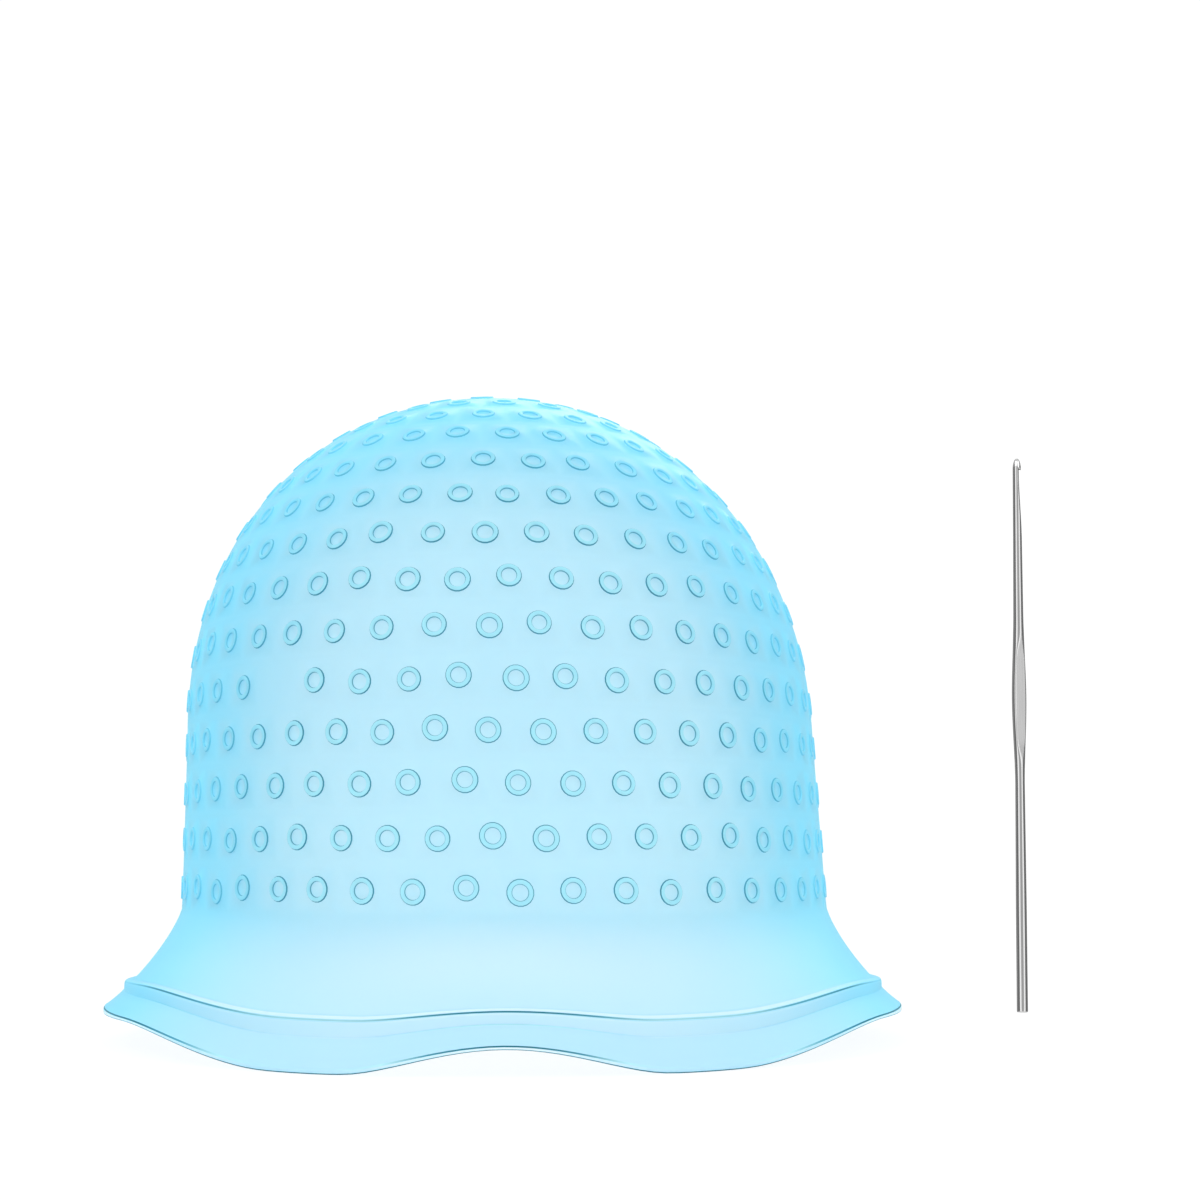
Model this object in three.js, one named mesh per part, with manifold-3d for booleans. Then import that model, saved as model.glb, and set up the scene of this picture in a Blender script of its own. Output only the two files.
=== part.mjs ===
// A silicone hair highlighting cap standing on its brim, with the steel pull hook standing beside it.
// The cap is one soft moulding, split here where its form changes: crown, flared skirt and brim band.
// Millimetres, +Z up. The cap faces -Y. The origin is the middle of the set's footprint.
import * as THREE from "three";
import { mergeVertices } from "three/addons/utils/BufferGeometryUtils.js";
import Module from "manifold-3d";

const wasm = await Module();
wasm.setup();

// Driving dimensions of the cap.
const CAP_HEIGHT = 172;
const HALF_WIDTH = 84.5; // of the wall where the dome springs
const DEPTH_RATIO = 1.09; // front-to-back size over side-to-side size
const SPRING_Z = 78.5; // where the dome meets the wall
const DOME_POWER = 2.1; // 2 is an ellipse, more is squarer
const WALL_TAPER = 1.6; // the wall widens by this down to the flare
const FLARE_TOP_Z = 34;
const FLARE_OUT = 11.6; // how far the skirt flares out down to the brim band
const FLARE_POWER = 1.22;
const WALL = 1.2; // thickness of the silicone
const CROWN_LEAN = 4.5; // the soft crown leans this far towards -X

// The brim band, a stepped collar round the lower edge.
const BAND_TOP_Z = 12.1;
const LEDGE_OUT = 2.4; // how far its ledge stands out of the skirt
const LEDGE_ROUND = 0.9;
const SHOULDER_DROP = 3.8;
const BRIM_OUT = 5.1; // from the shoulder out to the rim
const RIM_WIDTH = 2.2; // flat edge that the cap stands on

// The wavy rim: it rests on four low lobes and rises between them.
const LOBE_ANGLE = 24; // degrees of each lobe from the front or the back
const END_RISE = 6.8; // at the front and the back, between two lobes
const SIDE_RISE = 8.1;
const SIDE_SPREAD = 38; // degrees from a lobe's middle to where the side is fully raised
const REST_CUT = 0.7; // taken off the wave so that the lobes lie flat
const WAVE_TOP_Z = 36; // the wave has died out here

// The pull hook.
const HOOK_LENGTH = 174;
const END_RADIUS = 1.68;
const NECK_RADIUS = 1.28;
const GRIP_LOW_Z = 80;
const GRIP_HIGH_Z = 114;
const GRIP_RADIUS = 2.2;
const GRIP_THICKNESS = 2;
const BARB_LENGTH = 3.2;
const THROAT_DEPTH = 0.8;
const THROAT_RAMP = 22; // length of the slope from the throat out to the round rod
const HOOK_LEAN = 3; // how far the head leans towards +X from the foot
const HOOK_GAP = 54; // from the brim to the hook's foot
const HOOK_BEHIND = 72; // the hook stands this far behind the middle of the cap
const FLAT_TURN = 20; // degrees that the thumb flat is turned towards +X
const THROAT_TURN = 50; // degrees from the thumb flat round to the throat

const PART_GAP = 0.3; // left between the zones of the moulding
const AROUND = 72;
const ROD_SIDES = 16;

// Where the skirt meets the brim band, and the outermost radius, at the rim.
const bandRadius = HALF_WIDTH + WALL_TAPER + FLARE_OUT;
const rimRadius = bandRadius + LEDGE_OUT + BRIM_OUT;

// Half the cap's width at a height, on the outside of the wall.
function outerRadius(z) {
  if (z >= SPRING_Z) {
    const up = Math.min(1, (z - SPRING_Z) / (CAP_HEIGHT - SPRING_Z));
    return HALF_WIDTH * Math.pow(1 - Math.pow(up, DOME_POWER), 1 / DOME_POWER);
  }
  if (z >= FLARE_TOP_Z) {
    return HALF_WIDTH + (WALL_TAPER * (SPRING_Z - z)) / (SPRING_Z - FLARE_TOP_Z);
  }
  const down = (FLARE_TOP_Z - z) / (FLARE_TOP_Z - BAND_TOP_Z);
  return HALF_WIDTH + WALL_TAPER + FLARE_OUT * Math.pow(down, FLARE_POWER);
}

// Points on the outside of the wall, from the top down.
function outerLine(highZ, lowZ, steps) {
  const points = [];
  for (let i = 0; i <= steps; i++) {
    const z = highZ + ((lowZ - highZ) * i) / steps;
    points.push(new THREE.Vector2(outerRadius(z), z));
  }
  return points;
}

// The same line moved in by the wall's thickness.
function insetLine(line, thickness) {
  return line.map((point, i) => {
    const before = line[Math.max(i - 1, 0)];
    const after = line[Math.min(i + 1, line.length - 1)];
    const along = after.clone().sub(before).normalize();
    return new THREE.Vector2(point.x + along.y * thickness, point.y - along.x * thickness);
  });
}

// How far the wavy rim lifts a point at an angle from the front, in radians.
function waveLift(angle, z) {
  const fromEnd = THREE.MathUtils.radToDeg(Math.acos(Math.abs(Math.cos(angle))));
  const towardsEnd = fromEnd < LOBE_ANGLE;
  const away = Math.abs(fromEnd - LOBE_ANGLE) / (towardsEnd ? LOBE_ANGLE : SIDE_SPREAD);
  const rise = towardsEnd ? END_RISE : SIDE_RISE;
  const wave = rise * Math.pow(Math.sin((Math.min(1, away) * Math.PI) / 2), 2) - REST_CUT;
  const fade = Math.max(0, 1 - Math.max(z, 0) / WAVE_TOP_Z);
  return Math.max(0, wave) * fade * fade;
}

// Turns a round lathe into the cap's form: oval, wavy at the rim and leaning at the crown.
function shapeToCap(geometry) {
  geometry.rotateX(Math.PI / 2);
  const place = geometry.attributes.position;
  for (let i = 0; i < place.count; i++) {
    const x = place.getX(i);
    const y = place.getY(i);
    const z = place.getZ(i);
    const angle = Math.atan2(x, -y);
    const up = Math.min(1, Math.max(0, (z - FLARE_TOP_Z) / (CAP_HEIGHT - FLARE_TOP_Z)));
    place.setXYZ(i, x - CROWN_LEAN * up, y * DEPTH_RATIO, z + waveLift(angle, z));
  }
  return geometry;
}

// A closed profile turned round the cap's axis. The profile runs down the outside and up the inside.
function capZone(name, profile) {
  const geometry = shapeToCap(new THREE.LatheGeometry([...profile].reverse(), AROUND));
  const silicone = new THREE.MeshStandardMaterial({ color: 0xa6e4fb, roughness: 0.35, metalness: 0 });
  const mesh = new THREE.Mesh(geometry, silicone);
  mesh.name = name;
  return mesh;
}

// The dome and the upright wall that carry the eyelets.
function crownShell() {
  const domeSteps = 11;
  const outside = [];
  for (let i = 0; i <= domeSteps; i++) {
    // Equal turns of the dome's slope, so that the crown's top is smooth.
    const turn = (i / domeSteps) * (Math.PI / 2);
    const z = SPRING_Z + (CAP_HEIGHT - SPRING_Z) * Math.pow(Math.cos(turn), 2 / DOME_POWER);
    outside.push(new THREE.Vector2(HALF_WIDTH * Math.pow(Math.sin(turn), 2 / DOME_POWER), z));
  }
  outside.push(...outerLine(SPRING_Z, FLARE_TOP_Z, 3).slice(1));
  const inside = insetLine(outside, WALL).reverse();
  outside[0].x = 0;
  inside[inside.length - 1].x = 0;
  return capZone("crown_shell", [...outside, ...inside]);
}

// The concave skirt between the wall and the brim band.
function flaredSkirt() {
  const outside = outerLine(FLARE_TOP_Z - PART_GAP, BAND_TOP_Z + PART_GAP, 6);
  // Both ends are level, so the wall's thickness is measured across.
  const across = WALL * 1.15;
  const inside = outside.map((point) => new THREE.Vector2(point.x - across, point.y)).reverse();
  return capZone("flared_skirt", [...outside, ...inside, outside[0].clone()]);
}

// The stepped collar: a ledge with a round edge, an upright shoulder and a sloping rim.
function brimBand() {
  const ledgeRadius = bandRadius + LEDGE_OUT;
  const roundSteps = 3;
  const outside = [new THREE.Vector2(bandRadius - WALL, BAND_TOP_Z)];
  for (let i = 0; i <= roundSteps; i++) {
    const turn = (i / roundSteps) * (Math.PI / 2);
    const x = ledgeRadius - LEDGE_ROUND * (1 - Math.sin(turn));
    outside.push(new THREE.Vector2(x, BAND_TOP_Z - LEDGE_ROUND * (1 - Math.cos(turn))));
  }
  outside.push(new THREE.Vector2(ledgeRadius + 0.2, BAND_TOP_Z - SHOULDER_DROP));
  outside.push(new THREE.Vector2(rimRadius, LEDGE_ROUND));
  outside.push(new THREE.Vector2(rimRadius - 0.4, 0));
  const inside = [
    new THREE.Vector2(rimRadius - RIM_WIDTH, 0),
    new THREE.Vector2(ledgeRadius - WALL, BAND_TOP_Z - SHOULDER_DROP - WALL / 2),
    new THREE.Vector2(ledgeRadius - WALL - LEDGE_ROUND / 2, BAND_TOP_Z - WALL),
    new THREE.Vector2(bandRadius - WALL, BAND_TOP_Z - WALL),
  ];
  return capZone("brim_band", [...outside, ...inside, outside[0].clone()]);
}

// A mesh geometry as a manifold solid, and back.
function solidFrom(geometry) {
  const bare = geometry.clone();
  bare.deleteAttribute("normal");
  bare.deleteAttribute("uv");
  const merged = mergeVertices(bare, 1e-4);
  const triVerts = new Uint32Array(merged.index.array);
  const vertProperties = merged.attributes.position.array;
  return new wasm.Manifold(new wasm.Mesh({ numProp: 3, vertProperties, triVerts }));
}

function geometryFrom(solid) {
  const mesh = solid.getMesh();
  const geometry = new THREE.BufferGeometry();
  geometry.setAttribute("position", new THREE.BufferAttribute(mesh.vertProperties, 3));
  geometry.setIndex(new THREE.BufferAttribute(mesh.triVerts, 1));
  geometry.computeVertexNormals();
  return geometry;
}

// An outline in the plane of X and Z, as a slab along Y.
function slab(points, lowY, highY) {
  const outline = new THREE.Shape(points.map(([x, z]) => new THREE.Vector2(x, z)));
  const geometry = new THREE.ExtrudeGeometry(outline, { depth: highY - lowY, bevelEnabled: false });
  geometry.rotateX(Math.PI / 2);
  geometry.translate(0, highY, 0);
  return geometry;
}

// The round rod with its swelling for the thumb rest, tapering up to the domed head.
function hookRod() {
  const gripMiddle = (GRIP_LOW_Z + GRIP_HIGH_Z) / 2;
  const barbZ = HOOK_LENGTH - BARB_LENGTH;
  const profile = [
    [0, 0],
    [END_RADIUS - 0.35, 0],
    [END_RADIUS, 0.35],
    [END_RADIUS * 0.88, GRIP_LOW_Z - 9],
    [END_RADIUS * 1.03, GRIP_LOW_Z],
    [GRIP_RADIUS * 0.93, GRIP_LOW_Z + 8],
    [GRIP_RADIUS, gripMiddle],
    [GRIP_RADIUS * 0.93, GRIP_HIGH_Z - 8],
    [END_RADIUS * 1.03, GRIP_HIGH_Z],
    [END_RADIUS * 0.97, GRIP_HIGH_Z + 6],
    [NECK_RADIUS * 1.06, barbZ - THROAT_RAMP],
    [NECK_RADIUS, barbZ - 3],
    [NECK_RADIUS, barbZ],
  ].map(([x, z]) => new THREE.Vector2(x, z));
  const headSteps = 5;
  for (let i = 1; i <= headSteps; i++) {
    const turn = (i / headSteps) * (Math.PI / 2);
    const radius = i === headSteps ? 0 : NECK_RADIUS * Math.cos(turn);
    profile.push(new THREE.Vector2(radius, barbZ + BARB_LENGTH * Math.pow(Math.sin(turn), 1.3)));
  }
  const rod = new THREE.LatheGeometry(profile, ROD_SIDES);
  rod.rotateX(Math.PI / 2);
  return rod;
}

// The cutter that leaves a barb under the head: a throat with a slanting roof and a long ramp out.
function throatCutter() {
  const barbZ = HOOK_LENGTH - BARB_LENGTH;
  const floorX = NECK_RADIUS - THROAT_DEPTH;
  const clearX = NECK_RADIUS + 2;
  const cutter = slab(
    [
      [floorX, barbZ + 0.4],
      [floorX, barbZ - 3],
      [NECK_RADIUS, barbZ - THROAT_RAMP],
      [clearX, barbZ - THROAT_RAMP],
      [clearX, barbZ - 0.3],
    ],
    -3,
    3,
  );
  cutter.rotateZ(THREE.MathUtils.degToRad(THROAT_TURN - 90));
  return cutter;
}

// One of the two cutters that press the swelling flat, with a ramp at each end.
function flatCutter(side) {
  const ramp = 4;
  const face = GRIP_THICKNESS / 2;
  const cutter = slab(
    [
      [face, GRIP_LOW_Z + ramp],
      [GRIP_RADIUS + 1, GRIP_LOW_Z - ramp],
      [GRIP_RADIUS + 1, GRIP_HIGH_Z + ramp],
      [face, GRIP_HIGH_Z - ramp],
    ],
    -4,
    4,
  );
  cutter.rotateZ(side * (Math.PI / 2));
  return cutter;
}

// The hook as it stands: turned, leaning a little, and centred on the middle of its foot.
function pullHook() {
  const solid = solidFrom(hookRod())
    .subtract(solidFrom(throatCutter()))
    .subtract(solidFrom(flatCutter(1)))
    .subtract(solidFrom(flatCutter(-1)));
  const geometry = geometryFrom(solid);
  geometry.rotateZ(THREE.MathUtils.degToRad(FLAT_TURN));
  geometry.applyMatrix4(new THREE.Matrix4().makeShear(0, 0, 0, 0, HOOK_LEAN / HOOK_LENGTH, 0));
  geometry.computeVertexNormals();
  const steel = new THREE.MeshStandardMaterial({ color: 0xbfc1c2, roughness: 0.35, metalness: 1 });
  const mesh = new THREE.Mesh(geometry, steel);
  mesh.name = "pull_hook";
  return mesh;
}

const hook = pullHook();
hook.geometry.computeBoundingBox();
const hookReach = hook.geometry.boundingBox.max.x;

// The cap and the hook are placed so that the whole set is centred on the origin.
const cap = new THREE.Group();
cap.position.set(-(HOOK_GAP + hookReach) / 2, 0, 0);
cap.add(crownShell(), flaredSkirt(), brimBand());
hook.position.set(cap.position.x + rimRadius + HOOK_GAP, HOOK_BEHIND, 0);

const set = new THREE.Group();
set.add(cap, hook);

export default set;
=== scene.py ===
import math

import bpy
import numpy as np
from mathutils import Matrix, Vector


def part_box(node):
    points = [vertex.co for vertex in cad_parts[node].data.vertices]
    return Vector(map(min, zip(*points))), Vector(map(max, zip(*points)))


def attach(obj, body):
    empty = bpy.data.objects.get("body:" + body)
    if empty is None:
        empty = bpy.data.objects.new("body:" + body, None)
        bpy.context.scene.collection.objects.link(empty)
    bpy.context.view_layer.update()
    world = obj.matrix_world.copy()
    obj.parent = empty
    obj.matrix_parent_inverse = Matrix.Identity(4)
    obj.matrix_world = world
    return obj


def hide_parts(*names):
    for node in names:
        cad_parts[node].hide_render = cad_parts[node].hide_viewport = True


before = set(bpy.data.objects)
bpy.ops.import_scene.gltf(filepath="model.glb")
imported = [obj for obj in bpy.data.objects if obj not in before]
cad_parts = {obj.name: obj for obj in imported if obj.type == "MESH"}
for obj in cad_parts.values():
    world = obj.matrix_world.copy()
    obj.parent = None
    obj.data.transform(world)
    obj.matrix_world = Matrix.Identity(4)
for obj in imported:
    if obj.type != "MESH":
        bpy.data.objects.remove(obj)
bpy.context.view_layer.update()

MM = 0.001

# The cap's form in millimetres, as in the CAD model.
CAP_HEIGHT = 172.0
HALF_WIDTH = 84.5
DEPTH_RATIO = 1.09  # front to back, against side to side
SPRING_Z = 78.5  # where the dome springs from the wall
DOME_POWER = 2.1
WALL_TAPER = 1.6
FLARE_TOP_Z = 34.0
FLARE_OUT = 11.6
FLARE_POWER = 1.22
WALL = 1.2
CROWN_LEAN = 4.5
BAND_TOP_Z = 12.1
LEDGE_OUT = 2.4
BRIM_OUT = 5.1
RIM_WIDTH = 2.2
LOBE_ANGLE = 24.0  # degrees from the front or the back to the lobes that the rim rests on
END_RISE = 6.8
SIDE_RISE = 8.1
SIDE_SPREAD = 38.0
REST_CUT = 0.7
REST_SOFTNESS = 0.4
WAVE_TOP_Z = 36.0

# The brim band's form where it is finer than in the CAD model.
LEDGE_ROUND = 1.2
SHOULDER_DROP = 4.5
LEDGE_LIFT = 1.3
LIFT_ANGLE = 62.0
LIFT_SPREAD = 20.0
LEDGE_DIP = 0.6
DIP_SPREAD = 16.0
LIFT_REACH = 18.0  # how far above and below the ledge the lift fades out
LIP_Z = 1.5
SIDE_LIP = 1.3  # how much deeper the lip is at the cap's two sides
SHOULDER_SHARE = 1.2  # how much of that the shoulder follows
LIP_START = 0.86  # share of the half width at which the lip starts to deepen
LINE_FADE_START = 0.8  # share of the half width at which the painted shade line under the ledge starts to fade
LINE_FADE_RUN = 0.16
LINE_FADE = 0.6
SKIRT_ROWS = 14
SKIRT_END = 0.4  # the skirt's last row is this far short of the band
INNER_ROWS = 40
INNER_START = 1.5
INNER_END = 5.0  # the inner skin's last row is this far from the crown's top

# The eyelets.
EYELET_ROWS = 15
EYELET_PITCH = 12.2
PITCH_ROUND = 1.055  # the pitch round the cap, against the pitch up it
FIRST_ROW_Z = 39.2
HALF_CELL = 0.46 * EYELET_PITCH
TOP_CELL = 5.2
FEWEST_IN_ROW = 5
ROW_SHIFTS = (0.26, -0.24)  # how far even and odd rows are turned, in pitches
DRIFT = 0.3
MOST_DRIFT = 0.8
SIZE_SPREAD = 0.02
EYELET_PROUD = 0.42
CENTRE_DEPTH = -0.16
MISSING_ROW = 4
MISSING_ANGLE = math.radians(-38)
SIDE = 5  # segments along one side of an eyelet's cell
ROUND = 4 * SIDE

# How deep the silicone's colour is, by the relief value stored on its surface. The palest values are painted
# highlights, and the ring-edge and deepest values are painted shade outlines and lines.
INSIDE = -1.0  # marks the skin inside the cap
# painted highlight: the palest tone, on the lip's end face where the rim is raised
PAINTED_HIGHLIGHT = -0.8
# painted highlight along the top of the ledge
PAINTED_LEDGE_HIGHLIGHT = -0.3
CENTRE_RELIEF = -0.1
PLAIN = 0.0
BRIM_TONE = 0.4  # the brim is thicker than the wall, so its colour is deeper
RING = 1.0
# painted shade outlines round the eyelets' edges
RING_SHADED_EDGE = 1.9
# painted shade lines, near black, along the lip's upper edge and the rim's foot
PAINTED_SHADE_LINE = 3.0
SKIRT_DEEPENS = 0.28

# Across an eyelet, from its cell inwards: radius, height, and how deep its colour is, with painted shade
# outlines at the ring's edges.
EYELET = [
    (3.12, 0.01, PLAIN),
    (3.06, 0.1, RING_SHADED_EDGE),
    (2.93, 0.36, RING_SHADED_EDGE),
    (2.84, EYELET_PROUD, RING),
    (1.97, EYELET_PROUD, RING),
    (1.84, 0.1, RING_SHADED_EDGE + 0.1),
    (1.74, -0.08, CENTRE_RELIEF),
]

# The hook's form in millimetres, close to the CAD model's. Its throat faces the same way. Its grip is
# up to 0.3 mm wider, and the flats start further out at each end.
END_RADIUS = 1.68
NECK_RADIUS = 1.28
GRIP_LOW_Z = 80.0
GRIP_HIGH_Z = 114.0
GRIP_RADIUS = 2.2
GRIP_THICKNESS = 2.0
GRIP_SPREAD = 1.06  # how much pressing the grip flat widens it
GRIP_SWELL = 27.0  # how far from the grip's middle the rod starts to widen
PRESS_START = 5.0  # how far outside the grip the pressing starts
PRESS_RUN = 9.0
BARB_LENGTH = 3.2
THROAT_DEPTH = 0.8
THROAT_RAMP = 22.0
THROAT_END = 1.2
FOOT_ROUND = 0.4
HOOK_LEAN = 3.0
FLAT_TURN = math.radians(20)  # the way that the grip's wide side lies, from +X
THROAT_TURN = math.radians(-20)  # the way that the throat faces, from +X
HOOK_SIDES = 40
ROD_ROWS = 110
THROAT_ROWS = 14
TIP_ROWS = 11
FOOT_ROWS = 5

# Small steps, in millimetres and radians, by which the surfaces' directions are measured.
ALONG_STEP = 0.25
TURN_STEP = 0.004
POLE_GAP = 0.02  # the nearest that a point comes to the crown's top
OFF_POLE = 0.3  # the nearest that directions round the cap are measured

low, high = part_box("brim_band")
cap_x = (low.x + high.x) / 2 / MM
cap_y = (low.y + high.y) / 2 / MM
hook_low, hook_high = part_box("pull_hook")
hook_x = hook_low.x / MM + END_RADIUS
hook_y = (hook_low.y + hook_high.y) / 2 / MM
hook_length = (hook_high.z - hook_low.z) / MM
barb_z = hook_length - BARB_LENGTH

band_radius = HALF_WIDTH + WALL_TAPER + FLARE_OUT
ledge_radius = band_radius + LEDGE_OUT
rim_radius = ledge_radius + BRIM_OUT


def smooth(t):
    """Goes from 0 to 1 with level ends."""
    t = np.clip(t, 0, 1)
    return t * t * (3 - 2 * t)


def outer_radius(z):
    """Half the cap's width at a height, below the dome."""
    wall = HALF_WIDTH + WALL_TAPER * (SPRING_Z - z) / (SPRING_Z - FLARE_TOP_Z)
    down = np.clip((FLARE_TOP_Z - z) / (FLARE_TOP_Z - BAND_TOP_Z), 0, None)
    return np.where(z >= FLARE_TOP_Z, wall, HALF_WIDTH + WALL_TAPER + FLARE_OUT * down**FLARE_POWER)


# The meridian from the crown's top down to the brim band, by distance along it.
quarter = np.linspace(0, math.pi / 2, 900)
dome_r = HALF_WIDTH * np.sin(quarter) ** (2 / DOME_POWER)
dome_z = SPRING_Z + (CAP_HEIGHT - SPRING_Z) * np.cos(quarter) ** (2 / DOME_POWER)
wall_z = np.linspace(SPRING_Z, BAND_TOP_Z, 400)[1:]
line_r = np.concatenate([dome_r, outer_radius(wall_z)])
line_z = np.concatenate([dome_z, wall_z])
mean_ratio = (1 + DEPTH_RATIO) / 2
line_s = np.concatenate([[0], np.cumsum(np.hypot(np.diff(line_r) * mean_ratio, np.diff(line_z)))])
line_end = line_s[-1]
first_row_s = float(np.interp(-FIRST_ROW_Z, -line_z, line_s))


def from_end(angle):
    """Degrees from the front or the back, whichever is nearer."""
    return np.degrees(np.arccos(np.clip(np.abs(np.cos(angle)), 0, 1)))


def wave_at(angle):
    """How far the rim is raised at an angle from the front: nothing at the four lobes it rests on."""
    turned = from_end(angle)
    towards_end = turned < LOBE_ANGLE
    away = np.abs(turned - LOBE_ANGLE) / np.where(towards_end, LOBE_ANGLE, SIDE_SPREAD)
    rise = np.where(towards_end, END_RISE, SIDE_RISE)
    wave = rise * np.sin(np.clip(away, 0, 1) * math.pi / 2) ** 2 - REST_CUT
    return (wave + np.sqrt(wave * wave + REST_SOFTNESS)) / 2


def lift_at(angle):
    """How far the ledge is lifted: up between the lobes and the sides, and down at the front and back."""
    turned = from_end(angle)
    lift = LEDGE_LIFT * np.exp(-(((turned - LIFT_ANGLE) / LIFT_SPREAD) ** 2))
    return lift - LEDGE_DIP * np.exp(-((turned / DIP_SPREAD) ** 2))


def place(angle, r, z):
    """A point at an angle from the front, a radius and a height, on the oval, wavy and leaning cap."""
    fade = np.clip(1 - np.clip(z, 0, None) / WAVE_TOP_Z, 0, None)
    up = np.clip((z - FLARE_TOP_Z) / (CAP_HEIGHT - FLARE_TOP_Z), 0, 1)
    x = cap_x + r * np.sin(angle) - CROWN_LEAN * up
    y = cap_y - r * np.cos(angle) * DEPTH_RATIO
    near = np.clip(1 - np.abs(z - BAND_TOP_Z) / LIFT_REACH, 0, 1)
    return np.stack([x, y, z + wave_at(angle) * fade * fade + lift_at(angle) * near], axis=-1)


def on_line(angle, s):
    """A point at an angle from the front and a distance along the meridian."""
    s = np.clip(s, 0, line_end)
    return place(angle, np.interp(s, line_s, line_r), np.interp(s, line_s, line_z))


def on_skin(angle, s, height):
    """Points raised off the cap's outside by a height, each followed by the plain surface's normal there."""
    s = np.maximum(s, POLE_GAP)
    off_pole = np.maximum(s, OFF_POLE)
    down = on_line(angle, s + ALONG_STEP) - on_line(angle, np.maximum(s - ALONG_STEP, POLE_GAP / 2))
    across = on_line(angle + TURN_STEP, off_pole) - on_line(angle - TURN_STEP, off_pole)
    normal = np.cross(down, across)
    normal /= np.maximum(np.linalg.norm(normal, axis=-1, keepdims=True), 1e-9)
    return np.concatenate([on_line(angle, s) + normal * height[..., None], normal], axis=-1)


def round_here(angle, s):
    """Millimetres across the surface for each radian of angle."""
    ends = on_line(angle + TURN_STEP / 2, s) - on_line(angle - TURN_STEP / 2, s)
    return np.linalg.norm(ends, axis=-1) / TURN_STEP


class Skin:
    """Collects the points and faces of one closed surface."""

    def __init__(self):
        self.blocks = []
        self.relief = []
        self.faces = []
        self.count = 0

    def add(self, points, relief):
        """Adds points, with their plain normals if they have them, and says where they went."""
        points = np.asarray(points, float)
        points = points.reshape(-1, points.shape[-1])
        if points.shape[1] == 3:
            points = np.pad(points, ((0, 0), (0, 3)))
        index = np.arange(self.count, self.count + len(points))
        self.blocks.append(points)
        self.relief.append(np.broadcast_to(np.asarray(relief, float), len(points)))
        self.count += len(points)
        return index

    def ring(self, outer, inner):
        """Faces between two loops of equal count that run the same way."""
        n = len(outer)
        for i in range(n):
            j = (i + 1) % n
            self.faces.append((outer[i], outer[j], inner[j], inner[i]))

    def fan(self, loop, centre):
        """Faces from a loop to the point in its middle."""
        n = len(loop)
        for i in range(n):
            self.faces.append((loop[i], loop[(i + 1) % n], centre))

    def stitch(self, low, low_angle, high, high_angle):
        """Faces between two loops of different counts, matched by angle."""
        n, m = len(low), len(high)
        full = 2 * math.pi
        same = 1e-4
        gap = (high_angle - low_angle[0] + math.pi) % full - math.pi
        start = int(np.argmin(np.abs(gap)))
        order = (np.arange(m) + start) % m
        high = high[order]
        first = low_angle[0] + gap[start]
        steps = (high_angle[order] - high_angle[order][0]) % full
        top = np.append(first + steps, first + full)
        base = np.append(low_angle[0] + (low_angle - low_angle[0]) % full, low_angle[0] + full)
        i = j = 0
        while i < n or j < m:
            a, b, c, d = low[i % n], low[(i + 1) % n], high[(j + 1) % m], high[j % m]
            both_left = i < n and j < m
            if both_left and abs(base[i + 1] - top[j + 1]) < same and abs(base[i] - top[j]) < same:
                self.faces.append((a, b, c, d))
                i, j = i + 1, j + 1
            elif j >= m or (i < n and base[i + 1] <= top[j + 1]):
                self.faces.append((a, b, d))
                i += 1
            else:
                self.faces.append((a, c, d))
                j += 1

    def mesh(self, name):
        """The mesh, with how deep its colour is and the way its plain surface faces at each point."""
        points = np.concatenate(self.blocks)
        mesh = bpy.data.meshes.new(name)
        faces = [tuple(int(v) for v in face) for face in self.faces]
        mesh.from_pydata((points[:, :3] * MM).tolist(), [], faces)
        mesh.shade_smooth()
        mesh.update()
        own = np.zeros(len(points) * 3, np.float32)
        mesh.vertex_normals.foreach_get("vector", own)
        plain = points[:, 3:]
        without = np.linalg.norm(plain, axis=1) < 0.5
        plain = np.where(without[:, None], own.reshape(-1, 3), plain)
        relief = mesh.attributes.new("relief", "FLOAT", "POINT")
        relief.data.foreach_set("value", np.concatenate(self.relief).astype(np.float32))
        facing = mesh.attributes.new("plain_normal", "FLOAT_VECTOR", "POINT")
        facing.data.foreach_set("vector", plain.astype(np.float32).ravel())
        return mesh


rng = np.random.default_rng(11)
skin = Skin()


def eyelet(centre_angle, centre_s, boundary, present, size, drift):
    """One raised eyelet with its thin centre, joined to the edge of its cell, or plain skin in its place."""
    middle_s = centre_s + drift[1]
    phi = math.radians(-135) + np.arange(ROUND) * (2 * math.pi / ROUND)
    previous = boundary
    for radius, height, relief in EYELET:
        r = radius * size
        s = middle_s - r * np.sin(phi)
        around = round_here(np.full(ROUND, centre_angle), np.maximum(s, 1.0))
        angle = centre_angle + (drift[0] + r * np.cos(phi)) / around
        raised = np.full(ROUND, height if present else 0.0)
        now = skin.add(on_skin(angle, s, raised), relief if present else PLAIN)
        skin.ring(previous, now)
        previous = now
    around = round_here(np.array([centre_angle]), np.array([centre_s]))
    angle = np.array([centre_angle]) + drift[0] / around
    depth = np.array([CENTRE_DEPTH if present else 0.0])
    middle = on_skin(angle, np.array([middle_s]), depth)
    centre = skin.add(middle, CENTRE_RELIEF if present else PLAIN)
    skin.fan(previous, centre[0])


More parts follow.
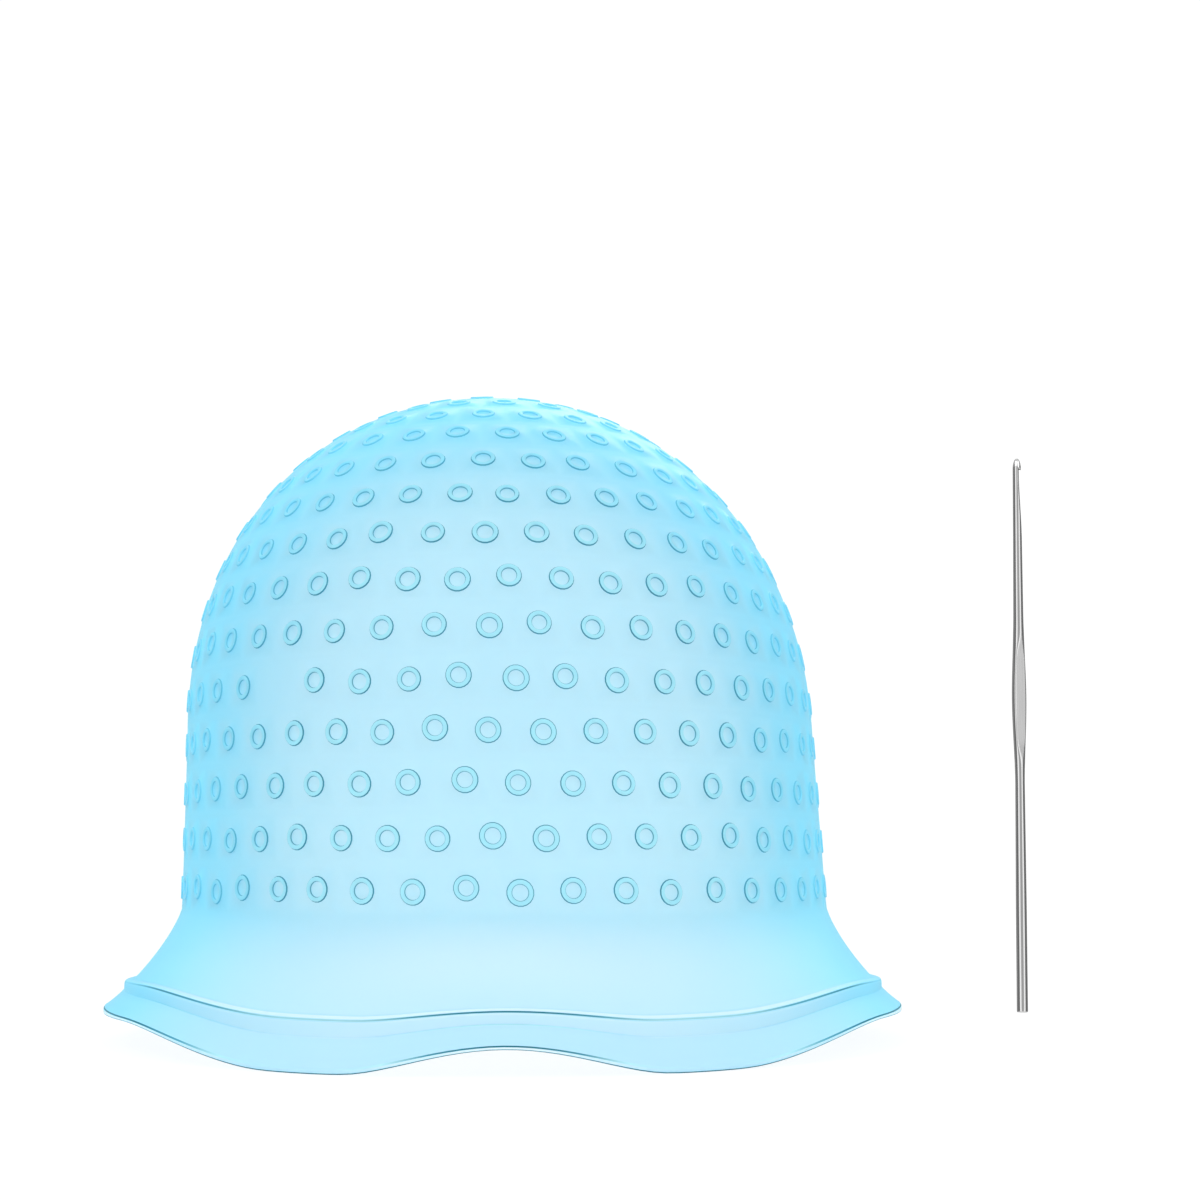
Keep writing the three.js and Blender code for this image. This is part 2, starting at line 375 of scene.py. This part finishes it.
def eyelet_row(row):
    """One row of eyelets round the cap, each in a four-sided cell of the skin."""
    s = first_row_s - row * EYELET_PITCH
    length = 2 * math.pi * float(np.interp(s, line_s, line_r)) * mean_ratio
    count = max(FEWEST_IN_ROW, round(length / (EYELET_PITCH * PITCH_ROUND)))
    pitch = 2 * math.pi / count
    phase = pitch * ROW_SHIFTS[row % 2]
    edge = phase - pitch / 2 + np.arange(count * SIDE) * pitch / SIDE
    flat = np.zeros(len(edge))
    low_loop = skin.add(on_skin(edge, flat + s + HALF_CELL, flat), PLAIN)
    high_loop = skin.add(on_skin(edge, flat + s - HALF_CELL, flat), PLAIN)
    rise = s + HALF_CELL - 2 * HALF_CELL * np.arange(1, SIDE) / SIDE
    post = np.zeros(SIDE - 1)
    turns = [phase - pitch / 2 + j * pitch for j in range(count)]
    posts = [skin.add(on_skin(post + turn, rise, post), PLAIN) for turn in turns]
    missing = round((MISSING_ANGLE - phase) / pitch) % count if row == MISSING_ROW else -1
    for j in range(count):
        span = np.arange(j * SIDE, (j + 1) * SIDE + 1) % (count * SIDE)
        left, right = posts[j], posts[(j + 1) % count]
        boundary = np.concatenate([low_loop[span], right, high_loop[span[::-1]], left[::-1]])
        drift = rng.normal(0, DRIFT, 2).clip(-MOST_DRIFT, MOST_DRIFT)
        size = 1 + rng.normal(0, SIZE_SPREAD)
        eyelet(phase + j * pitch, s, boundary, j != missing, size, drift)
    return low_loop, high_loop, edge


rows = [eyelet_row(row) for row in range(EYELET_ROWS)]
for (_, high_loop, edge), (next_low_loop, _, next_edge) in zip(rows, rows[1:]):
    skin.stitch(high_loop, edge, next_low_loop, next_edge)


def top_eyelet():
    """The eyelet at the very top, inside the highest row."""
    phi = np.arange(ROUND) * (2 * math.pi / ROUND)
    flat = np.zeros(ROUND)
    previous = skin.add(on_skin(phi, flat + TOP_CELL, flat), PLAIN)
    _, highest_loop, highest_edge = rows[-1]
    skin.stitch(highest_loop, highest_edge, previous, phi)
    for radius, height, relief in EYELET:
        now = skin.add(on_skin(phi, flat + radius, flat + height), relief)
        skin.ring(previous, now)
        previous = now
    middle = on_skin(np.zeros(1), np.full(1, POLE_GAP), np.full(1, CENTRE_DEPTH))
    centre = skin.add(middle, CENTRE_RELIEF)
    skin.fan(previous, centre[0])


top_eyelet()


def bow(centre_r, centre_z, radius, start, end, steps):
    """Points of an arc in the band's section, by degrees from straight out."""
    turns = np.radians(np.linspace(start, end, steps))
    return [(centre_r + radius * math.cos(t), centre_z + radius * math.sin(t)) for t in turns]


def band_outside():
    """The brim band's section from the skirt, over the ledge and the collar, to the outside of the rim.

    Each point has its radius, its height, how deep its colour is at a lobe and where the rim is raised, and
    how much it follows the lip, which is deeper at the cap's two sides. Its colours paint a highlight along
    the ledge and on the lip's face, and shade lines under the ledge, in the notch, along the lip and at the
    foot.
    """
    shoulder_z = BAND_TOP_Z - SHOULDER_DROP
    fall_r = ledge_radius + 0.15
    fall_z = shoulder_z - 0.4
    corner = (ledge_radius - LEDGE_ROUND, BAND_TOP_Z - LEDGE_ROUND)
    ledge = [
        (band_radius + 0.2, BAND_TOP_Z - 0.1, 0.6, 0.4, 0),
        (band_radius + 0.6, BAND_TOP_Z - 0.15, CENTRE_RELIEF, CENTRE_RELIEF, 0),
    ]
    # painted highlight along the top of the ledge's rounded corner
    ledge += [(r, z, PAINTED_LEDGE_HIGHLIGHT, PAINTED_LEDGE_HIGHLIGHT, 0) for r, z in bow(*corner, LEDGE_ROUND, 90, 35, 5)]
    collar = [
        # a painted shade line under the ledge's rounded corner, darkest where the rim is raised
        (ledge_radius - 0.15, BAND_TOP_Z - 0.62, 0.6, 1.6, 0),
        (ledge_radius - 0.1, BAND_TOP_Z - 0.72, 1.3, 2.8, 0),
        (ledge_radius - 0.02, BAND_TOP_Z - 1.02, 1.3, 2.8, 0),
        (ledge_radius + 0.02, BAND_TOP_Z - 1.15, 0.6, 0.8, 0),
        (ledge_radius + 0.06, BAND_TOP_Z - 1.35, 0.1, -0.2, 0),
        (ledge_radius + 0.08, BAND_TOP_Z - 1.9, 0.1, 0.1, 0),
        (ledge_radius + 0.1, shoulder_z + 0.4, 0.1, 0.1, SHOULDER_SHARE),
    ]
    shoulder = [
        (ledge_radius + 0.08, shoulder_z + 0.1, 0.1, 0.2, SHOULDER_SHARE),
        # a painted shade line along the notch, where the rim is raised
        (ledge_radius + 0.04, shoulder_z - 0.05, 0.2, 1.3, SHOULDER_SHARE),
        (ledge_radius + 0.06, shoulder_z - 0.2, 0.2, 1.2, SHOULDER_SHARE),
        (fall_r, fall_z, BRIM_TONE, BRIM_TONE, SHOULDER_SHARE),
    ]
    slope = []
    for down in (0.25, 0.5, 0.75, 1.0):
        r = fall_r + (BRIM_OUT - 0.55) * down**1.1
        z = fall_z + (LIP_Z - fall_z) * down
        slope.append((r, z, BRIM_TONE, BRIM_TONE, SHOULDER_SHARE + (1 - SHOULDER_SHARE) * down))
    lip = [
        # painted shade lines at the lip's upper edge and a painted highlight on its end face, where the rim
        # is raised
        (rim_radius - 0.3, LIP_Z - 0.04, BRIM_TONE, 1.6, 1),
        (rim_radius - 0.24, LIP_Z - 0.09, BRIM_TONE, PAINTED_SHADE_LINE, 1),
        (rim_radius - 0.1, LIP_Z - 0.5, BRIM_TONE, PAINTED_SHADE_LINE, 1),
        (rim_radius - 0.04, LIP_Z - 0.57, BRIM_TONE, -0.4, 1),
        (rim_radius, LIP_Z - 0.75, BRIM_TONE, PAINTED_HIGHLIGHT, 0.7),
        (rim_radius + 0.02, 0.45, BRIM_TONE, PAINTED_HIGHLIGHT, 0),
    ]
    foot = [
        # a painted shade line along the rim's foot, where it meets the floor
        (rim_radius - 0.01, 0.3, 0.6, -0.4, 0),
        (rim_radius - 0.04, 0.2, PAINTED_SHADE_LINE, 2.6, 0),
        (rim_radius - 0.12, 0.03, PAINTED_SHADE_LINE, 2.6, 0),
    ]
    return ledge + collar + shoulder + slope + lip + foot


def band_inside():
    """The rest of the section, from the rim's flat underside up the band's inner side: radius and height."""
    shoulder_z = BAND_TOP_Z - SHOULDER_DROP
    corner = (ledge_radius - WALL - 0.6, BAND_TOP_Z - WALL - 0.5)
    section = [
        (rim_radius - 0.3, 0.0),
        (rim_radius - RIM_WIDTH + 0.3, 0.0),
        (rim_radius - RIM_WIDTH, 0.2),
        (rim_radius - RIM_WIDTH - 0.4, 0.9),
        (ledge_radius - WALL + 0.6, shoulder_z - 2.6),
        (ledge_radius - WALL, shoulder_z - 0.2),
        (ledge_radius - WALL - 0.1, BAND_TOP_Z - 1.9),
    ]
    section += bow(*corner, 0.5, 0, 90, 3)
    section.append((band_radius - 0.4, BAND_TOP_Z - WALL - 0.1))
    return section


def band_normal(angle):
    """The way the band faces at each angle, leaving out its ledge, its notch and its lip."""
    flat = np.zeros(len(angle))
    down = place(angle, flat + rim_radius, flat) - place(angle, flat + band_radius, flat + BAND_TOP_Z)
    radius = (rim_radius + band_radius) / 2
    ahead = place(angle + TURN_STEP, flat + radius, flat)
    behind = place(angle - TURN_STEP, flat + radius, flat)
    normal = np.cross(down, ahead - behind)
    return normal / np.linalg.norm(normal, axis=-1, keepdims=True)


def below_the_rows():
    """From the lowest row: the wall, the skirt and the brim band, then up the inside to the crown."""
    previous, _, edge = rows[0]
    flat = np.zeros(len(edge))
    outward = np.abs(np.sin(edge))
    side = np.clip((outward - LIP_START) / (1 - LIP_START), 0, 1) ** 2
    raised = np.clip(wave_at(edge) / END_RISE, 0, 1)
    # how strongly the painted shade line under the ledge shows: where the rim is raised, fading towards the
    # sides
    shade_line_share = raised * (1 - LINE_FADE * smooth((outward - LINE_FADE_START) / LINE_FADE_RUN))
    facing = band_normal(edge)

    start = first_row_s + HALF_CELL
    for s in np.linspace(start, line_end - SKIRT_END, SKIRT_ROWS)[1:]:
        deeper = SKIRT_DEEPENS * smooth((s - start) / (line_end - start))
        now = skin.add(on_skin(edge, flat + s, flat), deeper)
        skin.ring(now, previous)
        previous = now
    for radius, z, at_lobe, at_rise, with_lip in band_outside():
        points = place(edge, flat + radius, z + SIDE_LIP * side * with_lip)
        share = shade_line_share if z > LIP_Z else raised
        now = skin.add(np.concatenate([points, facing], axis=-1), at_lobe + (at_rise - at_lobe) * share)
        skin.ring(now, previous)
        previous = now
    for radius, z in band_inside():
        now = skin.add(place(edge, flat + radius, flat + z), INSIDE)
        skin.ring(now, previous)
        previous = now
    for s in np.linspace(line_end - INNER_START, INNER_END, INNER_ROWS):
        now = skin.add(on_skin(edge, flat + s, flat - WALL), INSIDE)
        skin.ring(now, previous)
        previous = now
    top = skin.add(on_skin(np.zeros(1), np.full(1, POLE_GAP), np.full(1, -WALL)), INSIDE)
    skin.fan(previous, top[0])


below_the_rows()


def new_object(name, data):
    """An object in the scene that holds the data."""
    made = bpy.data.objects.new(name, data)
    bpy.context.scene.collection.objects.link(made)
    return made


cap = new_object("silicone_cap", skin.mesh("silicone_cap"))


def rod_radius(z):
    """The round rod's radius: it thins to a waist, thickens past the grip and tapers to the neck."""
    profile = [
        (0.0, END_RADIUS),
        (30.0, 1.65),
        (GRIP_LOW_Z - 9, 1.45),
        (GRIP_HIGH_Z + 4, 1.58),
        (barb_z - THROAT_RAMP, 1.36),
        (barb_z, NECK_RADIUS),
    ]
    heights, radii = zip(*profile)
    return float(np.interp(z, heights, radii))


def foot_sections():
    """Sections round the hook's foot.

    Each section has its height, its radius, how much the grip widens it, half its thickness where it is
    pressed flat, and how far out the throat's floor is where it is cut.
    """
    sections = []
    for turn in np.linspace(0, math.pi / 2, FOOT_ROWS):
        radius = END_RADIUS - FOOT_ROUND * (1 - math.sin(turn))
        sections.append((FOOT_ROUND * (1 - math.cos(turn)), radius, 1, None, None))
    return sections


def rod_sections():
    """Sections up the rod and its pressed grip."""
    sections = []
    middle_z = (GRIP_LOW_Z + GRIP_HIGH_Z) / 2
    for z in np.linspace(2, barb_z - THROAT_RAMP, ROD_ROWS):
        radius = rod_radius(z)
        swell = float(smooth(1 - abs(z - middle_z) / GRIP_SWELL))
        wide = 1 + (GRIP_RADIUS * GRIP_SPREAD / radius - 1) * swell
        from_low = (z - GRIP_LOW_Z + PRESS_START) / PRESS_RUN
        from_high = (GRIP_HIGH_Z + PRESS_START - z) / PRESS_RUN
        press = float(smooth(from_low) * smooth(from_high))
        thick = radius * wide + (GRIP_THICKNESS / 2 - radius * wide) * press if press > 0 else None
        sections.append((z, radius, wide, thick, None))
    return sections


def head_sections():
    """Sections up the throat, under the barb and over the round tip."""
    sections = []
    for t in np.linspace(0, 1, THROAT_ROWS)[1:]:
        z = barb_z - THROAT_RAMP + (THROAT_RAMP - THROAT_END) * t
        floor = rod_radius(z) - (THROAT_DEPTH - 0.02) * smooth(t * 0.9 + 0.1)
        sections.append((z, rod_radius(z), 1, None, floor))
    deepest = NECK_RADIUS - THROAT_DEPTH
    sections.append((barb_z - 0.5, NECK_RADIUS, 1, None, deepest))
    sections.append((barb_z - 0.15, NECK_RADIUS, 1, None, deepest + 0.08))
    sections.append((barb_z, NECK_RADIUS, 1, None, NECK_RADIUS + 0.12))
    for turn in np.linspace(0, math.pi / 2, TIP_ROWS)[1:]:
        radius = NECK_RADIUS * max(math.cos(turn), 0.0) ** 0.85 + 0.001
        sections.append((barb_z + BARB_LENGTH * math.sin(turn) ** 1.2, radius, 1, None, None))
    return sections


def hook_loop(z, radius, wide, thick, floor):
    """One section's points: round, pressed flat where it has a thickness, and cut where it has a throat."""
    angle = np.arange(HOOK_SIDES) * 2 * math.pi / HOOK_SIDES
    throat = THROAT_TURN - FLAT_TURN
    along = radius * wide * np.cos(angle)
    across = radius * (1 + (wide - 1) * 0.6) * np.sin(angle)
    height = np.full(HOOK_SIDES, z)
    if thick is not None:
        across = np.clip(across, -thick, thick)
    if floor is not None:
        out = along * math.cos(throat) + across * math.sin(throat)
        cut = np.clip(floor - out, None, 0)
        along = along + cut * math.cos(throat)
        across = across + cut * math.sin(throat)
        if floor > NECK_RADIUS:
            height = z - 0.5 * smooth(out / NECK_RADIUS)
    lean = HOOK_LEAN * height / hook_length
    x = hook_x + along * math.cos(FLAT_TURN) - across * math.sin(FLAT_TURN) + lean
    y = hook_y + along * math.sin(FLAT_TURN) + across * math.cos(FLAT_TURN)
    return np.stack([x, y, height], axis=-1)


def hook_mesh():
    """The hook, lofted from sections up its length."""
    made = Skin()
    loops = [made.add(hook_loop(*row), 0.0) for row in foot_sections() + rod_sections() + head_sections()]
    foot = made.add([[hook_x, hook_y, 0.0]], 0.0)
    made.fan(loops[0][::-1], foot[0])
    for lower, upper in zip(loops, loops[1:]):
        made.ring(lower, upper)
    tip = made.add([[hook_x + HOOK_LEAN, hook_y, hook_length]], 0.0)
    made.fan(loops[-1], tip[0])
    return made.mesh("steel_hook")


hook = new_object("steel_hook", hook_mesh())


# Shader nodes.
def add_node(tree, kind, inputs=None, **settings):
    """A shader node. Each of its inputs is given a value, or the socket that feeds it."""
    made = tree.nodes.new("ShaderNode" + kind)
    for name, value in settings.items():
        setattr(made, name, value)
    for name, value in (inputs or {}).items():
        if isinstance(value, bpy.types.NodeSocket):
            tree.links.new(value, made.inputs[name])
        else:
            made.inputs[name].default_value = value
    return made


def new_material(name):
    """A material with an empty node tree."""
    material = bpy.data.materials.new(name)
    material.use_nodes = True
    material.node_tree.nodes.clear()
    return material, material.node_tree


def noise(tree, vector, scale, detail):
    """A cloudy value from 0 to 1."""
    made = add_node(tree, "TexNoise", {"Vector": vector, "Scale": scale, "Detail": detail})
    return made.outputs["Fac"]


def ramp(tree, value, stops):
    """A colour for a value from 0 to 1, from pairs of a position and a colour."""
    made = add_node(tree, "ValToRGB", {"Fac": value})
    elements = made.color_ramp.elements
    elements.remove(elements[1])
    for i, (at, colour) in enumerate(stops):
        stop = elements[0] if i == 0 else elements.new(at)
        stop.position = at
        stop.color = (*colour, 1)
    return made.outputs["Color"]


def remap(tree, value, old, new=(0, 1), **settings):
    """A value moved from an old range to a new one."""
    ends = {"From Min": old[0], "From Max": old[1], "To Min": new[0], "To Max": new[1]}
    return add_node(tree, "MapRange", {"Value": value, **ends}, **settings).outputs["Result"]


def bump(tree, height, strength, distance, under=None):
    """A normal bent by a height, on top of the bump under it."""
    made = add_node(tree, "Bump", {"Height": height, "Strength": strength, "Distance": distance})
    if under is not None:
        tree.links.new(under, made.inputs["Normal"])
    return made.outputs["Normal"]


def mix_shaders(tree, share, first, second):
    """Two shaders mixed by the second one's share, a number or a socket."""
    return add_node(tree, "MixShader", {"Fac": share, 1: first, 2: second}).outputs["Shader"]


def grey(tone):
    """A colour of three equal parts."""
    return (tone, tone, tone)


def tones(stops):
    """Ramp stops for pairs of a relief value and a colour."""
    return [((relief - PAINTED_HIGHLIGHT) / (PAINTED_SHADE_LINE - PAINTED_HIGHLIGHT), colour) for relief, colour in stops]


# The silicone's colours by relief: where light falls on it, and where it is seen through. The palest stops
# are painted highlights, and the ring-edge and deepest stops are painted shade outlines and lines, near
# black where it is seen through.
LIT_TONES = [
    (PAINTED_HIGHLIGHT, (0.75, 0.97, 1.0)),
    (PAINTED_LEDGE_HIGHLIGHT, (0.29, 0.77, 0.99)),
    (PLAIN, (0.255, 0.75, 0.98)),
    (RING, (0.245, 0.735, 0.965)),
    (RING_SHADED_EDGE, (0.215, 0.7, 0.94)),
    (PAINTED_SHADE_LINE, (0.01, 0.2, 0.28)),
]
CLEAR_TONES = [
    (PAINTED_HIGHLIGHT, (1.0, 1.0, 1.0)),
    (PAINTED_LEDGE_HIGHLIGHT, (0.95, 0.99, 1.0)),
    (PLAIN, (0.94, 0.985, 1.0)),
    (BRIM_TONE, (0.68, 0.86, 0.985)),
    (RING, (0.69, 0.96, 0.96)),
    (RING_SHADED_EDGE, (0.0, 0.1, 0.14)),
    (PAINTED_SHADE_LINE, (0.0, 0.08, 0.12)),
]


def lit_silicone(tree, depth):
    """The silicone's glossy, cloudy body, which lets a little light through."""
    where = add_node(tree, "TexCoord").outputs["Object"]
    clouds = ramp(tree, noise(tree, where, scale=14, detail=3), [(0.3, (0.9, 0.96, 0.99)), (0.7, grey(1))])
    tone = ramp(tree, depth, tones(LIT_TONES))
    varied = add_node(tree, "MixRGB", {"Fac": 1, "Color1": tone, "Color2": clouds}, blend_type="MULTIPLY")
    colour = varied.outputs["Color"]
    ripple = noise(tree, where, scale=60, detail=2)
    grain = bump(tree, noise(tree, where, scale=900, detail=2), strength=0.05, distance=0.0002)
    looks = {
        "Base Color": colour,
        "Roughness": remap(tree, ripple, (0, 1), (0.28, 0.42)),
        "Normal": bump(tree, ripple, strength=0.15, distance=0.001, under=grain),
        "IOR": 1.41,
        "Specular IOR Level": 0.35,
        "Subsurface Weight": 0.3,
        "Subsurface Radius": (0.6, 1.0, 1.2),
        "Subsurface Scale": 0.003,
    }
    body = add_node(tree, "BsdfPrincipled", looks).outputs["BSDF"]
    glow = add_node(tree, "BsdfTranslucent", {"Color": colour}).outputs["BSDF"]
    return mix_shaders(tree, 0.3, body, glow)


def silicone():
    """Translucent silicone, clearer where its plain surface faces the viewer and clearest inside."""
    material, tree = new_material("cyan_silicone")
    relief = add_node(tree, "Attribute", attribute_name="relief").outputs["Fac"]
    depth = remap(tree, relief, (PAINTED_HIGHLIGHT, PAINTED_SHADE_LINE))
    lit = lit_silicone(tree, depth)

    tint = ramp(tree, depth, tones(CLEAR_TONES))
    clear = add_node(tree, "BsdfRefraction", {"Color": tint, "Roughness": 0.6, "IOR": 1.25}).outputs["BSDF"]
    plain_normal = add_node(tree, "Attribute", attribute_name="plain_normal").outputs["Vector"]
    facing = add_node(tree, "LayerWeight", {"Blend": 0.5, "Normal": plain_normal}).outputs["Facing"]
    seen_through = remap(tree, facing, (0.15, 0.9), (0.72, 0.02), interpolation_type="SMOOTHSTEP")
    outer = mix_shaders(tree, seen_through, lit, clear)

    through = add_node(tree, "BsdfTransparent").outputs["BSDF"]
    inner = mix_shaders(tree, 0.9, lit, through)
    is_inside = add_node(tree, "Math", {0: relief, 1: (INSIDE + PAINTED_HIGHLIGHT) / 2}, operation="LESS_THAN")
    skins = mix_shaders(tree, is_inside.outputs["Value"], outer, inner)
    add_node(tree, "OutputMaterial", {"Surface": skins})
    return material


def steel():
    """Drawn steel, with fine marks along its length."""
    material, tree = new_material("drawn_steel")
    where = add_node(tree, "TexCoord").outputs["Object"]
    along = add_node(tree, "Mapping", {"Vector": where, "Scale": (1, 1, 0.02)}).outputs["Vector"]
    marks = noise(tree, along, scale=5000, detail=3)
    looks = {
        "Base Color": ramp(tree, marks, [(0, grey(0.5)), (1, grey(0.68))]),
        "Roughness": remap(tree, marks, (0, 1), (0.08, 0.16)),
        "Normal": bump(tree, marks, strength=0.08, distance=0.00003),
        "Metallic": 1.0,
        "Specular Tint": (*grey(0.1), 1),
    }
    body = add_node(tree, "BsdfPrincipled", looks).outputs["BSDF"]
    add_node(tree, "OutputMaterial", {"Surface": body})
    return material


cap.data.materials.append(silicone())
cap.visible_glossy = False  # the steel doesn't mirror the cap
hook.data.materials.append(steel())

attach(cap, "cap")
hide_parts("crown_shell", "flared_skirt", "brim_band")
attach(hook, "hook")
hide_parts("pull_hook")


# The floor, lights and camera, in metres.
FLOOR_REACH = 6.0
LIT_POINT = Vector((0, 0, 0.08))
CAMERA_BACK = -0.55
CAMERA_HEIGHT = 0.045
CAMERA_UP = math.radians(7.55)
CAMERA_TURN = math.radians(-2.64)


def floor():
    """A pale floor that is as white as the studio."""
    mesh = bpy.data.meshes.new("floor")
    corners = [(-1, -1), (1, -1), (1, 1), (-1, 1)]
    mesh.from_pydata([(x * FLOOR_REACH, y * FLOOR_REACH, 0) for x, y in corners], [], [(0, 1, 2, 3)])
    made = new_object("floor", mesh)
    material, tree = new_material("pale_floor")
    looks = {
        "Base Color": (*grey(0.15), 1),
        "Emission Color": (*grey(1), 1),
        "Emission Strength": 0.86,
        "Roughness": 0.7,
        "Specular IOR Level": 0.0,
    }
    paint = add_node(tree, "BsdfPrincipled", looks).outputs["BSDF"]
    add_node(tree, "OutputMaterial", {"Surface": paint})
    mesh.materials.append(material)
    made.visible_glossy = False


floor()

# What polished metal mirrors, from straight ahead of the object (0) to straight behind it (1).
MIRRORED = [(0.0, 0.55), (0.03, 0.55), (0.09, 1.5), (0.2, 1.5), (0.3, 0.22), (0.62, 0.24), (0.85, 0.6)]
AHEAD = (-0.08, -0.997, 0)


def studio():
    """A plain white studio. Polished metal in it mirrors bright walls to either side of a grey front."""
    world = bpy.data.worlds.new("studio")
    bpy.context.scene.world = world
    world.use_nodes = True
    tree = world.node_tree
    wall = tree.nodes["Background"]
    wall.inputs["Color"].default_value = (1, 1, 1, 1)
    wall.inputs["Strength"].default_value = 1.04

    way = add_node(tree, "TexCoord").outputs["Generated"]
    ahead = add_node(tree, "VectorMath", {0: way, 1: AHEAD}, operation="DOT_PRODUCT").outputs["Value"]
    behind = remap(tree, ahead, (1, -1))
    around = ramp(tree, behind, [(at, grey(tone)) for at, tone in MIRRORED])
    height = add_node(tree, "SeparateXYZ", {"Vector": way}).outputs["Z"]
    steep = add_node(tree, "Math", {0: height}, operation="ABSOLUTE").outputs["Value"]
    whiter = remap(tree, steep, (0.25, 0.6))
    mirrored = add_node(tree, "MixRGB", {"Fac": whiter, "Color1": around, "Color2": (1, 1, 1, 1)})
    sides = add_node(tree, "Background", {"Color": mirrored.outputs["Color"]}).outputs["Background"]

    ray = add_node(tree, "LightPath").outputs
    kinds = {0: ray["Is Glossy Ray"], 1: ray["Is Reflection Ray"]}
    reflected = add_node(tree, "Math", kinds, operation="MULTIPLY").outputs["Value"]
    seen = mix_shaders(tree, reflected, wall.outputs["Background"], sides)
    tree.links.new(seen, tree.nodes["World Output"].inputs["Surface"])


studio()


def softbox(name, where, size, power):
    """A round soft light that faces the object."""
    data = bpy.data.lights.new(name, "AREA")
    data.shape = "DISK"
    data.size = size
    data.energy = power
    made = new_object(name, data)
    made.location = where
    made.rotation_euler = (LIT_POINT - made.location).to_track_quat("-Z", "Y").to_euler()


softbox("key", (-0.7, -0.9, 1.1), 0.7, 6)
softbox("fill", (0.9, -0.7, 0.8), 0.7, 3)
softbox("back", (0.2, 1.0, 1.0), 0.8, 3)

camera_data = bpy.data.cameras.new("camera")
camera_data.sensor_width = 36
camera_data.lens = 60
camera_data.clip_start = 0.01
camera_data.clip_end = 50
camera = new_object("camera", camera_data)
camera.location = (cap_x * MM, CAMERA_BACK, CAMERA_HEIGHT)
camera.rotation_euler = (math.pi / 2 + CAMERA_UP, 0, CAMERA_TURN)
bpy.context.scene.camera = camera
bpy.context.scene.view_settings.view_transform = "Standard"
